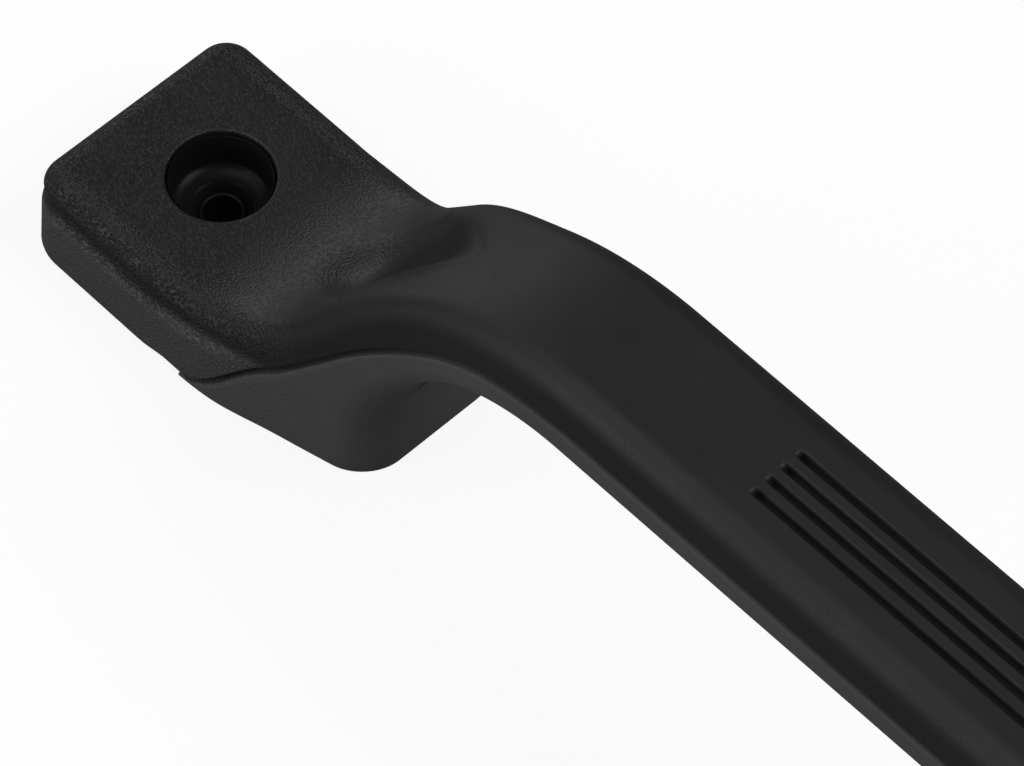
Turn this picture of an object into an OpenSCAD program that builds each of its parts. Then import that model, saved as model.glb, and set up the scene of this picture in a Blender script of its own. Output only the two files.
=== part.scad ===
// Fixed roof grab handle: a ribbed load-bearing body with two screw towers,
// closed by a grained cover that snaps over it.
// X runs along the handle, Y across it and +Z away from the roof.
// The origin is midway between the two feet, on the mounting plane.
// In the functions, e is the distance from the outer end of the nearer foot.

/* [Overall] */
// Distance between the two screw axes
screw_spacing = 280; // [250:5:330]
// Distance from a screw axis to the outer end of its foot
end_margin = 21.1; // [20:0.2:23]
// Clear height under the grip
finger_clear = 42.4; // [40:0.2:46]
// Thickness of the grip
grip_t = 16.6; // [15.5:0.1:19]
// Width of the grip
grip_w = 24; // [22:0.2:28]

/* [Foot] */
// Width of a foot at its base
foot_w = 41.6; // [39:0.2:44]
// Height of a foot's top face
foot_h = 16; // [15.6:0.1:17]
// Length of a foot along its base
foot_len = 66.2; // [62:0.1:70]
// Plan radius of the foot's outer corners
corner_r = 7.9; // [7.4:0.1:9]
// Width of the rolled edge round a foot's top face
foot_roll = 3.3; // [2.8:0.1:3.8]
// Lean of a foot's side at its outer end, in degrees
draft = 3; // [1:0.5:4]
// Lean of its side at the root of the neck, in degrees
neck_draft = 2.8; // [1:0.2:5]
// Distance from the outer end to where that lean is reached
neck_draft_at = 30; // [26:1:34]
// Depth of that edge
foot_roll_h = 4.2; // [3.6:0.1:4.6]
// Width of the small ledge on which the skirt starts below that edge
crease_step = 0.7; // [0.4:0.05:0.9]
// Height of that ledge above the base
crease_z = 9.8; // [9:0.1:10.2]
// Distance from the outer end to where the ledge starts to climb
crease_from = 27; // [25:0.5:30]
// Climb of the ledge for each millimetre from there
crease_climb = 0.21; // [0.15:0.01:0.24]
// How much sharper the outer corners are above that ledge
corner_gain = 1.6; // [1:0.1:2]
// Plan radius of the foot's inner corners
foot_edge_r = 6; // [5:0.1:8]

/* [Neck] */
// Distance from the outer end to the foot of the straight rise
rise_start = 44.3; // [43.3:0.1:45.3]
// Distance from the outer end to the head of the straight rise
rise_end = 76.3; // [73:0.2:82]
// Radius at the root of the rise, on top
root_r = 28; // [24:1:32]
// Radius at the head of the rise, on top
shoulder_r = 54.4; // [48:0.2:60]
// Radius between a foot's inner face and the underside of the grip
inner_r = 34.2; // [28:0.2:36]
// Distance from the outer end to where the foot starts to narrow
taper_start = 33.2; // [32:0.2:35]
// Distance from the outer end to where it is as narrow as the grip
taper_end = 79.4; // [74:0.2:86]
// Depth of the scoop in the root of the neck
scoop_depth = 5; // [2:0.5:6]
// Distance from the outer end to the middle of the scoop
scoop_at = 57; // [54:0.5:60]
// Length of the scoop
scoop_len = 30; // [24:1:34]
// Width of the scoop
scoop_w = 24; // [18:1:26]

/* [Grip] */
// Lean of the grip's sides, in degrees
grip_draft = 0.1; // [0:0.1:2]
// Radius of the rolled edges on top of the grip
grip_roll = 4.2; // [3.5:0.1:5]
// Radius of the edges under the grip
grip_edge_r = 3.8; // [3.5:0.1:5]
// Number of grooves on top of the grip
groove_count = 4; // [2:1:5]
// Distance from groove to groove
groove_pitch = 2.78; // [2.2:0.02:3.2]
// Width of a groove
groove_w = 1.4; // [1.2:0.1:2]
// Depth of a groove
groove_depth = 0.7; // [0.4:0.05:0.9]
// Length of the grooves
groove_len = 65; // [40:1:90]

/* [Seam] */
// Distance from the outer end to where the seam leaves the base
seam_start = 33.8; // [33:0.2:36]
// Distance over which the seam climbs to its place along the neck
seam_run = 14.8; // [13:0.2:16]
// Depth of the seam below the top of the neck and the grip
seam_drop = 8.6; // [8.2:0.1:9.4]
// Sag of the seam below that line along the steep part of the neck
seam_sag = 2.1; // [1:0.1:3]
// Distance from the outer end to the middle of the sag
sag_at = 66; // [62:0.5:68]
// Half the length of the sag
sag_half = 21; // [18:0.5:23]
// Gap between the edge of the cover and the body
seam_gap = 0.4; // [0.3:0.05:0.6]
// How far the cover stands proud of the body
seam_proud = 0.3; // [0.2:0.05:0.5]
// Lift of the cover's lower edge just before the seam
edge_lift = 0.9; // [0.8:0.1:1.2]

/* [Walls] */
// Wall of the cover
cover_wall = 2; // [1.6:0.1:2.2]
// Clearance between the cover and what lies inside it
fit = 0.2; // [0.15:0.05:0.3]
// Thickness of the tongue that the body sends up inside the cover
tongue_t = 1.4; // [1.2:0.1:1.8]
// Floor and inner wall of the body
body_wall = 3; // [2.5:0.1:3.4]
// Thickness of the ribs
rib_t = 1.8; // [1.4:0.1:2.4]
// Greatest distance from rib to rib in the grip
rib_step = 24; // [18:1:32]
// Gap between the ribs and the cover above them
rib_gap = 1.2; // [1:0.1:2]

/* [Screw wells] */
// Radius of the cover's holes
hole_r = 8; // [7.8:0.1:8.3]
// Outer radius of the lip that stands in the cover's hole
lip_r = 7.65; // [7.3:0.05:7.7]
// Wall of that lip at its top
lip_wall = 0.3; // [0.25:0.05:0.5]
// Depth of the lip below the foot's top face
lip_drop = 1.1; // [0.6:0.1:1.6]
// Outer radius of a tower below the cover
tower_r = 9.2; // [8.8:0.1:10]
// Depth of the well's floor below the foot's top face
well_depth = 6.8; // [6.2:0.1:7.2]
// Depth of the screw seat below the foot's top face
seat_depth = 8.7; // [8:0.1:9.2]
// Radius of the throat at the well's floor
throat_r = 4.5; // [4.2:0.1:5]
// Radius of the land round the screw hole
land_r = 3.5; // [3.3:0.1:3.8]
// Radius of the screw hole
screw_r = 2.7; // [2.2:0.05:3]

/* [Snap hooks] */
// Distance from hook to hook along the grip
hook_step = 40; // [30:1:44]
// Width of a hook
hook_w = 7; // [5:0.5:9]
// Thickness of a hook
hook_t = 1.5; // [1.2:0.1:1.8]
// Reach of a hook's barb into the body's wall
barb = 0.9; // [0.6:0.1:1.1]
// Height of a barb
barb_h = 2; // [1.6:0.1:2.4]

/* [Hidden] */
$fn = 72;
cover_colour = [0.17, 0.175, 0.18];
body_colour = [0.22, 0.225, 0.23];

half_l = screw_spacing / 2 + end_margin;
grip_top = finger_clear + grip_t;
base_half = foot_w / 2;
rise_angle = atan2(grip_top - foot_h, rise_end - rise_start);
root_cut = root_r * tan(rise_angle / 2);
shoulder_cut = shoulder_r * tan(rise_angle / 2);
root_from = rise_start - root_cut;
root_to = rise_start + root_cut * cos(rise_angle);
shoulder_from = rise_end - shoulder_cut * cos(rise_angle);
shoulder_to = rise_end + shoulder_cut;
arc_e = foot_len + inner_r;
arc_z = finger_clear - inner_r;

// Smooth step from 0 to 1, a plain blend and a smooth bump from 1 to 0
function ease(t) = let (u = min(1, max(0, t))) u * u * (3 - 2 * u);
function mix(a, b, t) = a + (b - a) * t;
function bump(t) = pow(max(0, 1 - t * t), 2);
function flip(list) = [for (i = [len(list) - 1 : -1 : 0]) list[i]];

// Height and slope of the line along the top of foot, neck and grip
function rail_z(e) =
    e < root_from ? foot_h :
    e < root_to ? foot_h + root_r - sqrt(root_r * root_r - pow(e - root_from, 2)) :
    e < shoulder_from ? foot_h + (e - rise_start) * tan(rise_angle) :
    e < shoulder_to ? grip_top - shoulder_r
        + sqrt(shoulder_r * shoulder_r - pow(shoulder_to - e, 2)) :
    grip_top;
function rail_slope(e) =
    e < root_from ? 0 :
    e < root_to ? (e - root_from) / sqrt(root_r * root_r - pow(e - root_from, 2)) :
    e < shoulder_from ? tan(rise_angle) :
    e < shoulder_to ? (shoulder_to - e)
        / sqrt(shoulder_r * shoulder_r - pow(shoulder_to - e, 2)) :
    0;
// Vertical measure of one millimetre taken square to that line
function steep(e) = sqrt(1 + pow(rail_slope(e), 2));

// Lean of the side: most at the root of the neck, least along the grip
function lean_at(e) =
    mix(mix(tan(draft), tan(neck_draft), ease((e - corner_r) / (neck_draft_at - corner_r))),
        tan(grip_draft), ease((e - neck_draft_at) / (taper_end - neck_draft_at)));
// Half width at the top, narrowing from the foot to the grip
function top_half(e) =
    mix(base_half - crease_step - lean_at(e) * roll_foot(e), grip_w / 2,
        ease((e - taper_start) / (taper_end - taper_start)));
// Hollow in the root of the neck, fading out to its rim
function scoop(e, y) =
    scoop_depth * bump(sqrt(pow((e - scoop_at) / (scoop_len / 2), 2) + pow(y / (scoop_w / 2), 2)));

// Rolled top edge: its width, its depth square to the rail, and the line
// along its foot
blend_len = 25;
function neck_blend(e) = ease((e - taper_start) / blend_len);
function roll_y(e) = mix(foot_roll, grip_roll, neck_blend(e));
function roll_z(e) = mix(foot_roll_h, grip_roll, neck_blend(e));
function roll_foot(e) = rail_z(e) - roll_z(e) * steep(e);
// The ledge below it, which fades out where it runs into the seam
fade_from = 6;
fade_run = 12;
ledge_h = 1.2;
ledge_margin = 0.15;
function step_y(e) = crease_step * (1 - ease((e - taper_start - fade_from) / fade_run));
function crease_line(e) = crease_z + crease_climb * max(0, e - crease_from);
function ledge_z(e) =
    min(max(crease_line(e), edge_z(e) + ledge_h / 2), roll_foot(e) - ledge_h - ledge_margin);

// Side of the handle below the rolled edge, leaning out towards the base
function side_y(e, z) = top_half(e) + step_y(e) + lean_at(e) * max(0, roll_foot(e) - z);

// Seam between the cover and the body, and the lower edge of the cover
function seam_z(e) = rail_z(e) - mix(foot_h, seam_drop, ease((e - seam_start) / seam_run))
    - seam_sag * bump((e - sag_at) / sag_half);
lift_from = 8;
lift_run = 6;
function edge_z(e) =
    e < seam_start ? edge_lift * ease((e - seam_start + lift_from) / lift_run) :
    max(edge_lift, seam_z(e));

// Distance of a point on the side from the inner face and the underside
function inner_d(e, z) =
    z < arc_z ? foot_len - e :
    e < arc_e ? norm([e - arc_e, z - arc_z]) - inner_r :
    z - finger_clear;
function inner_edge_r(e, z) =
    mix(foot_edge_r, grip_edge_r,
        z < arc_z ? 0 : e >= arc_e ? 1 : ease(atan2(z - arc_z, arc_e - e) / 45));
function edge_cut(d, r) = let (u = min(r, max(0, d))) r - sqrt(r * r - pow(r - u, 2));

// A point given by its distance from the end of the foot on side s
function at(s, e, y, z) = [s * (half_l - e), y, z];
// A profile point [y, z] turned about a rounded outer corner by the angle a
gain_run = 1.5;
least_corner = 0.4;
function corner_at(s, a, y, z) =
    let (inset = base_half - y, gain = corner_gain * ease((z - crease_z) / gain_run),
        r = max(least_corner, corner_r - inset - gain))
    at(s, inset + r * (1 - cos(a)), y - r * (1 - sin(a)), z);
function mirrored(points) = [for (p = flip(points)) [p.x, -p.y, p.z]];

// Closed shell between an outer and an inner skin. Each skin is a list of
// rings that run from the left rim to the right rim, and has as many rings
// as the other. The first and last rings are closed by flat end walls.
function skin_faces(rings, m, from, turned) =
    [for (i = [0 : rings - 2]) for (j = [0 : m - 2])
        let (a = from + i * m + j, q = [a, a + m, a + m + 1, a + 1])
        turned ? flip(q) : q];
// End wall: pairs of points up both sides, then the row along the top
function end_faces(at_ring, m, side, turned) =
    let (faces = concat(
        [for (k = [0 : side - 2]) [k, k + 1, m - 2 - k, m - 1 - k]],
        [concat([side - 1], [for (j = [side : m - side]) j])]))
    [for (f = faces) let (g = [for (j = f) at_ring + j]) turned ? flip(g) : g];
module shell_between(outer, inner, outer_side, inner_side, opens_up) {
    rings = len(outer);
    m = len(outer[0]);
    n = len(inner[0]);
    base = rings * m;
    last = base + (rings - 1) * n;
    rim = concat(
        [for (i = [0 : rings - 2])
            [i * m, base + i * n, base + (i + 1) * n, (i + 1) * m]],
        [for (i = [0 : rings - 2])
            [i * m + m - 1, (i + 1) * m + m - 1, base + (i + 2) * n - 1, base + (i + 1) * n - 1]],
        [[0, m - 1, base + n - 1, base]],
        [[(rings - 1) * m, last, last + n - 1, rings * m - 1]]);
    faces = concat(
        skin_faces(rings, m, 0, !opens_up),
        skin_faces(rings, n, base, opens_up),
        end_faces(0, m, outer_side, !opens_up),
        end_faces((rings - 1) * m, m, outer_side, opens_up),
        end_faces(base, n, inner_side, opens_up),
        end_faces(last, n, inner_side, !opens_up),
        [for (f = rim) opens_up ? f : flip(f)]);
    polyhedron(points = concat([for (r = outer) each r], [for (r = inner) each r]),
        faces = faces, convexity = 8);
}

// Stations along half of the cover
corner_steps = 7;
roll_steps = 7;
crown_half = 6;
neck_step = 2.4;
neck_margin = 2;
neck_from = seam_start - lift_run;
neck_to = max(shoulder_to, arc_e) + neck_margin;
neck_count = ceil((neck_to - neck_from) / neck_step);
corner_angles = [for (i = [0 : corner_steps - 1]) 90 * i / corner_steps];
cover_stations = concat([corner_r],
    [for (i = [0 : neck_count]) mix(neck_from, neck_to, i / neck_count)]);

// Outside of the cover at one station, from its lower edge to the rolled edge
function cover_side(e) =
    let (w = top_half(e), low = edge_z(e), ledge = ledge_z(e), st = step_y(e))
    concat(
        [[side_y(e, low), low], [side_y(e, (low + ledge) / 2), (low + ledge) / 2],
         [side_y(e, ledge), ledge],
         [side_y(e, ledge + ledge_h / 2) - 0.6 * st, ledge + ledge_h / 2],
         [side_y(e, ledge + ledge_h) - st, ledge + ledge_h]],
        [for (i = [0 : roll_steps - 1])
            let (a = 90 * (1 - i / roll_steps))
            [w - roll_y(e) * (1 - sin(a)), rail_z(e) - roll_z(e) * steep(e) * (1 - cos(a))]]);
function crown_y(e) = top_half(e) - roll_y(e);
// Inside of the cover at one station
inner_steps = 2;
least_r = 0.8;
function inner_roll_y(e) = max(roll_y(e) - cover_wall, least_r);
function inner_roll_z(e) = max(roll_z(e) - cover_wall, least_r);
function inner_top(e) = rail_z(e) - cover_wall * steep(e);
function inner_roll_foot(e) = inner_top(e) - inner_roll_z(e) * steep(e);
function cover_inner_side(e) =
    let (w = top_half(e) - cover_wall)
    concat(
        [[side_y(e, edge_z(e)) - cover_wall, edge_z(e)]],
        [for (i = [0 : inner_steps - 1])
            let (a = 90 * (1 - i / inner_steps))
            [w - inner_roll_y(e) * (1 - sin(a)),
             inner_top(e) - inner_roll_z(e) * steep(e) * (1 - cos(a))]]);
function inner_crown_y(e) = top_half(e) - cover_wall - inner_roll_y(e);

// Rings of a domed skin: side profile, crown, and the same side mirrored
function dome_ring(s, e, side, half, top, cols) =
    concat(
        [for (p = side) at(s, e, -p.x, p.y)],
        [for (j = [-cols : cols]) let (y = half * j / cols) at(s, e, y, top - scoop(e, y))],
        [for (p = flip(side)) at(s, e, p.x, p.y)]);
function dome_corner(s, a, side, half, top, cols) =
    let (p0 = corner_at(s, a, half, top))
    concat(
        [for (p = side) let (q = corner_at(s, a, p.x, p.y)) [q.x, -q.y, q.z]],
        [for (j = [-cols : cols]) [p0.x, p0.y * j / cols, top]],
        [for (p = flip(side)) corner_at(s, a, p.x, p.y)]);
function outer_rings(s) =
    let (e0 = corner_r, side = cover_side(e0))
    concat(
        [for (a = corner_angles)
            dome_corner(s, a, side, crown_y(e0), foot_h, crown_half)],
        [for (e = cover_stations)
            dome_ring(s, e, cover_side(e), crown_y(e), rail_z(e), crown_half)]);
function inner_rings(s) =
    let (e0 = corner_r, side = cover_inner_side(e0))
    concat(
        [for (a = corner_angles)
            dome_corner(s, a, side, inner_crown_y(e0), inner_top(e0), crown_half / 2)],
        [for (e = cover_stations)
            dome_ring(s, e, cover_inner_side(e), inner_crown_y(e), inner_top(e), crown_half / 2)]);

module cover_shell() {
    shell_between(
        concat(outer_rings(-1), flip(outer_rings(1))),
        concat(inner_rings(-1), flip(inner_rings(1))),
        len(cover_side(corner_r)), len(cover_inner_side(corner_r)), false);
}

// Body: the wall below the seam is flush with the cover, and a tongue
// rises from it inside the cover
function tongue_y(e) = top_half(e) - cover_wall - fit;
tongue_gap = 0.3;
function tongue_top(e) = inner_roll_foot(e) - tongue_gap;
function body_inner_y(e) = tongue_y(e) - tongue_t;
function flush_y(e, z) =
    side_y(e, z) - seam_proud - edge_cut(inner_d(e, z), inner_edge_r(e, z));
function inside_y(e, z) =
    body_inner_y(e) - edge_cut(inner_d(e, z) - body_wall,
        max(inner_edge_r(e, z) - body_wall, least_r));

// Lower line of the body's side: along the base, up the inner face, round
// the arc and along the underside. Each entry pairs a point [e, z] on that
// line, pushed inwards by o, with the station of its partner on the seam.
flush_from = seam_start + fit;
edge_partner = seam_start + 11;
corner_partner = seam_start + 15;
face_partner = seam_start + 20;
base_steps = 4;
edge_steps = 5;
face_steps = 2;
arc_steps = 10;
arc_bias = 1.3;
function lower_line(o) =
    let (edge_from = foot_len - foot_edge_r, face_e = foot_len - o)
    concat(
        [for (i = [0 : base_steps - 1])
            let (t = i / base_steps)
            [mix(flush_from, edge_from, t), o, mix(flush_from, edge_partner, t)]],
        [for (i = [0 : edge_steps])
            let (t = i / edge_steps)
            [mix(edge_from, face_e, sin(90 * t)), o, mix(edge_partner, corner_partner, t)]],
        [for (i = [1 : face_steps])
            let (t = i / face_steps)
            [face_e, mix(o, arc_z, t), mix(corner_partner, face_partner, t)]],
        [for (i = [1 : arc_steps])
            let (t = i / arc_steps)
            [arc_e - (inner_r + o) * cos(90 * t), arc_z + (inner_r + o) * sin(90 * t),
             mix(face_partner, arc_e, pow(t, arc_bias))]],
        [[neck_to, finger_clear + o, neck_to]]);

side_levels = [1, 0.72, 0.48, 0.3, 0.2, 0.12, 0.05, 0];
inner_levels = [0.6, 0.3, 0.12, 0];
// One side of the body at a station, from the tongue down to the lower line
function body_side(s, b) =
    let (t = [b.z, edge_z(b.z) - seam_gap])
    concat(
        [at(s, t.x, tongue_y(t.x), tongue_top(t.x)), at(s, t.x, tongue_y(t.x), t.y)],
        [for (f = side_levels)
            let (e = mix(b.x, t.x, f), z = mix(b.y, t.y, f)) at(s, e, flush_y(e, z), z)]);
function body_inside(s, b) =
    let (t = [b.z, tongue_top(b.z)])
    concat(
        [at(s, t.x, body_inner_y(t.x), t.y)],
        [for (f = inner_levels)
            let (e = mix(b.x, t.x, f), z = mix(b.y, t.y, f)) at(s, e, inside_y(e, z), z)]);
// The same under the cover's skirt, where the whole wall stands inside it
hidden_step = 0.2;
function hidden_side(e) =
    let (y = tongue_y(e), z = edge_lift - seam_gap)
    concat([[y, tongue_top(e)], [y, z]],
        [for (f = side_levels) [y + hidden_step, z * f]]);
function hidden_inside(e) =
    let (y = body_inner_y(e), top = tongue_top(e))
    concat([[y, top]], [for (f = inner_levels) [y, mix(body_wall, top, f)]]);
hidden_stations = [corner_r, seam_start];
function both(half) = concat(mirrored(flip(half)), flip(half));
function body_rings(s) = concat(
    [for (a = corner_angles)
        both([for (p = hidden_side(corner_r)) corner_at(s, a, p.x, p.y)])],
    [for (e = hidden_stations) both([for (p = hidden_side(e)) at(s, e, p.x, p.y)])],
    [for (b = lower_line(0)) both(body_side(s, b))]);
function body_inner_rings(s) = concat(
    [for (a = corner_angles)
        both([for (p = hidden_inside(corner_r)) corner_at(s, a, p.x, p.y)])],
    [for (e = hidden_stations) both([for (p = hidden_inside(e)) at(s, e, p.x, p.y)])],
    [for (b = lower_line(body_wall)) both(body_inside(s, b))]);

module body_shell() {
    shell_between(
        concat(body_rings(-1), flip(body_rings(1))),
        concat(body_inner_rings(-1), flip(body_inner_rings(1))),
        len(hidden_side(corner_r)), len(hidden_inside(corner_r)), true);
}

// Ribs: across the body at even steps, one more across each tower, and one
// along the middle from end to end
rib_from = 38;
rib_count = ceil(2 * (half_l - rib_from) / rib_step);
bond = 0.6;
// Highest that a rib may reach below the cover
function rib_top_z(e) = inner_top(e) - scoop(e, 0) - rib_gap * steep(e);
module cross_rib(s, e, floor_z) {
    y = body_inner_y(e) + bond;
    low_e = e - rib_t / 2;
    rib_top = min(tongue_top(low_e), rib_top_z(low_e));
    translate([s * (half_l - e) - rib_t / 2, -y, floor_z])
        cube([rib_t, 2 * y, rib_top - floor_z]);
}
// Height of the body's lower face at a distance from the outer end
function under_z(e) =
    e < foot_len ? 0 :
    e < arc_e ? arc_z + sqrt(pow(inner_r, 2) - pow(arc_e - e, 2)) :
    finger_clear;
module cross_ribs() {
    for (i = [0 : rib_count]) {
        x = mix(rib_from - half_l, half_l - rib_from, i / rib_count);
        s = x < 0 ? -1 : 1;
        e = half_l - abs(x);
        // A rib that starts near the inner face stands on its curve
        floor_z = max(under_z(e - rib_t / 2), under_z(e + rib_t / 2)) + bond;
        cross_rib(s, e, floor_z);
    }
    for (s = [-1, 1])
        cross_rib(s, end_margin, bond);
}
spine_from = corner_r;
spine_step = 3;
spine_stations = [for (e = [spine_from : spine_step : arc_e]) e];
module spine() {
    end_e = arc_e + cut_over;
    tops = [for (e = spine_stations) [e, rib_top_z(e)]];
    unders = [for (b = lower_line(body_wall - bond)) if (b.x <= end_e) [b.x, b.y]];
    outline = concat([[spine_from, body_wall - bond]], tops,
        [[end_e, rib_top_z(end_e)], [end_e, finger_clear + bond]], flip(unders));
    for (s = [-1, 1])
        translate([s * half_l, rib_t / 2, 0])
            rotate([90, 0, 0])
                linear_extrude(rib_t)
                    polygon([for (p = outline) [-s * p.x, p.y]]);
    translate([arc_e - half_l, -rib_t / 2, finger_clear + bond])
        cube([2 * (half_l - arc_e), rib_t, grip_t - cover_wall - rib_gap - bond]);
}

// Screw well: the lip that stands in the cover's hole, the dished floor,
// the cone down to the land, and the screw hole
well_z = foot_h - well_depth;
seat_z = foot_h - seat_depth;
lip_top = foot_h - lip_drop;
tower_top = foot_h - cover_wall - fit;
well_taper = 0.2;
well_corner = 0.8;
floor_fall = 0.7;
land_round = 0.35;
cut_over = 1;
// Coring from below between the screw tube and the tower's wall
tube_r = 5.2;
core_r = 7.4;
core_z = 4.2;
core_web = 24;
module tower() {
    cylinder(r = tower_r, h = tower_top);
    cylinder(r = lip_r, h = lip_top);
}
module well() {
    top_r = lip_r - lip_wall;
    low_r = top_r - well_taper;
    rotate_extrude()
        polygon([[0, -cut_over], [screw_r, -cut_over], [screw_r, seat_z - land_round],
            [screw_r + land_round, seat_z], [land_r, seat_z],
            [throat_r, well_z - floor_fall], [low_r - well_corner, well_z],
            [low_r, well_z + well_corner], [top_r, lip_top], [top_r, lip_top + cut_over],
            [0, lip_top + cut_over]]);
}
module coring() {
    for (a = [0 : 90 : 270])
        rotate([0, 0, a + core_web / 2])
            rotate_extrude(angle = 90 - core_web)
                translate([tube_r, -cut_over])
                    square([core_r - tube_r, core_z + cut_over]);
}

// Snap hooks hang from the cover inside the body's tongue, and their barbs
// catch in windows through it
hook_count = 3;
foot_hook_e = 31;
hook_below = 4.4;
hook_tail = 0.6;
hook_root = 0.2;
barb_back = 0.7;
function hook_z(e) = tongue_top(e) - hook_below;
module hook_at(x) {
    e = half_l - abs(x);
    for (t = [-1, 1])
        translate([x, t * (body_inner_y(e) - fit), hook_z(e)])
            scale([1, t, 1])
                children();
}
module hook(e) {
    rise = inner_top(e) - hook_z(e) + bond;
    translate([-hook_w / 2, -hook_t, -hook_tail])
        cube([hook_w, hook_t, rise + hook_tail]);
    translate([-hook_w / 2, 0, 0])
        rotate([90, 0, 90])
            linear_extrude(hook_w)
                polygon([[-hook_root, -hook_tail], [0, -hook_tail],
                    [barb + fit, barb_h * barb_back], [barb + fit, barb_h],
                    [-hook_root, barb_h]]);
}
module hook_window(e) {
    translate([-hook_w / 2 - fit, 0, -hook_tail])
        cube([hook_w + 2 * fit, tongue_t + 2 * fit, barb_h + hook_tail + fit]);
    translate([-hook_w / 2 - fit, -hook_t - fit, -hook_tail - fit])
        cube([hook_w + 2 * fit, hook_t + 2 * fit, foot_h]);
}
hook_xs = concat(
    [for (i = [0 : hook_count - 1]) (i - (hook_count - 1) / 2) * hook_step],
    [foot_hook_e - half_l, half_l - foot_hook_e]);

// Grooves along the top of the grip, and the rim of a screw recess
groove_r = (pow(groove_w / 2, 2) + pow(groove_depth, 2)) / (2 * groove_depth);
module grooves() {
    run = groove_len - 2 * groove_r;
    for (i = [0 : groove_count - 1])
        translate([-run / 2, (i - (groove_count - 1) / 2) * groove_pitch,
            grip_top - groove_depth + groove_r]) {
            rotate([0, 90, 0])
                cylinder(r = groove_r, h = run);
            sphere(r = groove_r);
            translate([run, 0, 0])
                sphere(r = groove_r);
        }
}
rim_break = 0.35;
module recess_hole() {
    translate([0, 0, foot_h - 2 * cover_wall])
        cylinder(r = hole_r, h = 3 * cover_wall);
    translate([0, 0, foot_h - rim_break])
        cylinder(r1 = hole_r, r2 = hole_r + 2 * rim_break, h = 2 * rim_break);
}
module at_screws() {
    for (s = [-1, 1])
        translate([s * screw_spacing / 2, 0, 0])
            children();
}

module top_cover() {
    color(cover_colour) {
        difference() {
            cover_shell();
            at_screws() recess_hole();
            grooves();
        }
        for (x = hook_xs)
            hook_at(x) hook(half_l - abs(x));
    }
}

module lower_body() {
    color(body_colour)
        difference() {
            union() {
                body_shell();
                cross_ribs();
                spine();
                at_screws() tower();
            }
            at_screws() well();
            at_screws() coring();
            for (x = hook_xs)
                hook_at(x) hook_window(half_l - abs(x));
        }
}

top_cover();
lower_body();
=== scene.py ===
# Roof grab handle, dressed for the catalogue picture
import math

import bmesh
import bpy
from mathutils import Matrix, Vector


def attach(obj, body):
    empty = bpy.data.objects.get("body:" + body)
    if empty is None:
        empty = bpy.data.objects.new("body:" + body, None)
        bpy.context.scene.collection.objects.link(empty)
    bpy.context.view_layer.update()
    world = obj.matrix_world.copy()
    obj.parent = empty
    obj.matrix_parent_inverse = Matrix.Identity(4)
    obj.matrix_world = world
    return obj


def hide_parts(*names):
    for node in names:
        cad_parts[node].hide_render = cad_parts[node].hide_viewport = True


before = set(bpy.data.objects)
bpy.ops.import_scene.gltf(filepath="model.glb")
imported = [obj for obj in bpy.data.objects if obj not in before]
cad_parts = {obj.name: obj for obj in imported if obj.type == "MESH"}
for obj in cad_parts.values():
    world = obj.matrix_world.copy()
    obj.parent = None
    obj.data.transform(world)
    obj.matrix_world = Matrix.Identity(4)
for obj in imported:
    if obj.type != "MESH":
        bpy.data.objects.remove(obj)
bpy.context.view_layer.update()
mm = 0.001


# The form that cover and body share. Lengths are in mm, and e runs in from the foot's outer end.
form = {
    "screwSpacing": 280.0, "endMargin": 21.1,
    "fingerClear": 42.4, "gripThick": 16.6, "gripWide": 24.0,
    "footWide": 41.6, "footHigh": 16.0, "footLong": 66.2,
    "cornerR": 7.9, "cornerLeastR": 0.4, "cornerGain": 1.6, "gainHigh": 1.5, "footEdgeR": 6.0,
    "draft": 3.0, "neckDraft": 2.8, "neckDraftAt": 30.0, "gripDraft": 0.1,
    "footRoll": 3.3, "footRollHigh": 4.2, "gripRoll": 4.2, "rollRun": 25.0,
    "creaseStep": 0.7, "creaseZ": 9.8, "creaseFrom": 27.0, "creaseClimb": 0.21,
    "creaseOverEdge": 0.6, "creaseUnderRoll": 1.35, "stepEnds": 39.2, "stepFade": 12.0,
    "riseStart": 44.3, "riseEnd": 76.3, "rootR": 28.0, "shoulderR": 54.4,
    "innerR": 34.2, "gripEdgeR": 3.8, "gripEdgeTurn": 45.0, "taperStart": 33.2, "taperEnd": 79.4,
    "scoopDepth": 5.0, "scoopAt": 57.0, "scoopLong": 28.5, "scoopWide": 21.6,
    "pointFrom": -0.15, "pointOver": 0.35, "pointBlunt": 2.0,
    "footSharp": 2.0, "neckSharp": 1.15, "sharpFrom": 49.0, "sharpRun": 10.0,
    "crestHigh": 0.5, "crestAt": 1.06, "crestHalf": 0.2,
    "seamStart": 33.8, "seamRun": 14.8, "seamDrop": 8.6,
    "seamSag": 2.1, "sagAt": 66.0, "sagHalf": 21.0,
    "seamGap": 0.4, "seamProud": 0.3, "edgeLift": 0.9, "liftFrom": 25.8, "liftRun": 6.0,
    "coverWall": 2.0, "fit": 0.2, "tongueThick": 1.4, "bodyWall": 3.0,
}

halfLong = form["screwSpacing"] / 2 + form["endMargin"]
gripTop = form["fingerClear"] + form["gripThick"]
baseHalf = form["footWide"] / 2
riseSlope = (gripTop - form["footHigh"]) / (form["riseEnd"] - form["riseStart"])
riseAngle = math.atan(riseSlope)
rootCut = form["rootR"] * math.tan(riseAngle / 2)
shoulderCut = form["shoulderR"] * math.tan(riseAngle / 2)
rootFrom = form["riseStart"] - rootCut
rootTo = form["riseStart"] + rootCut * math.cos(riseAngle)
shoulderFrom = form["riseEnd"] - shoulderCut * math.cos(riseAngle)
shoulderTo = form["riseEnd"] + shoulderCut
arcE = form["footLong"] + form["innerR"]
arcZ = form["fingerClear"] - form["innerR"]


def ease(t):
    u = min(1.0, max(0.0, t))
    return u * u * (3 - 2 * u)


def mix(a, b, t):
    return a + (b - a) * t


def hump(t):
    return max(0.0, 1 - t * t) ** 2


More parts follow.
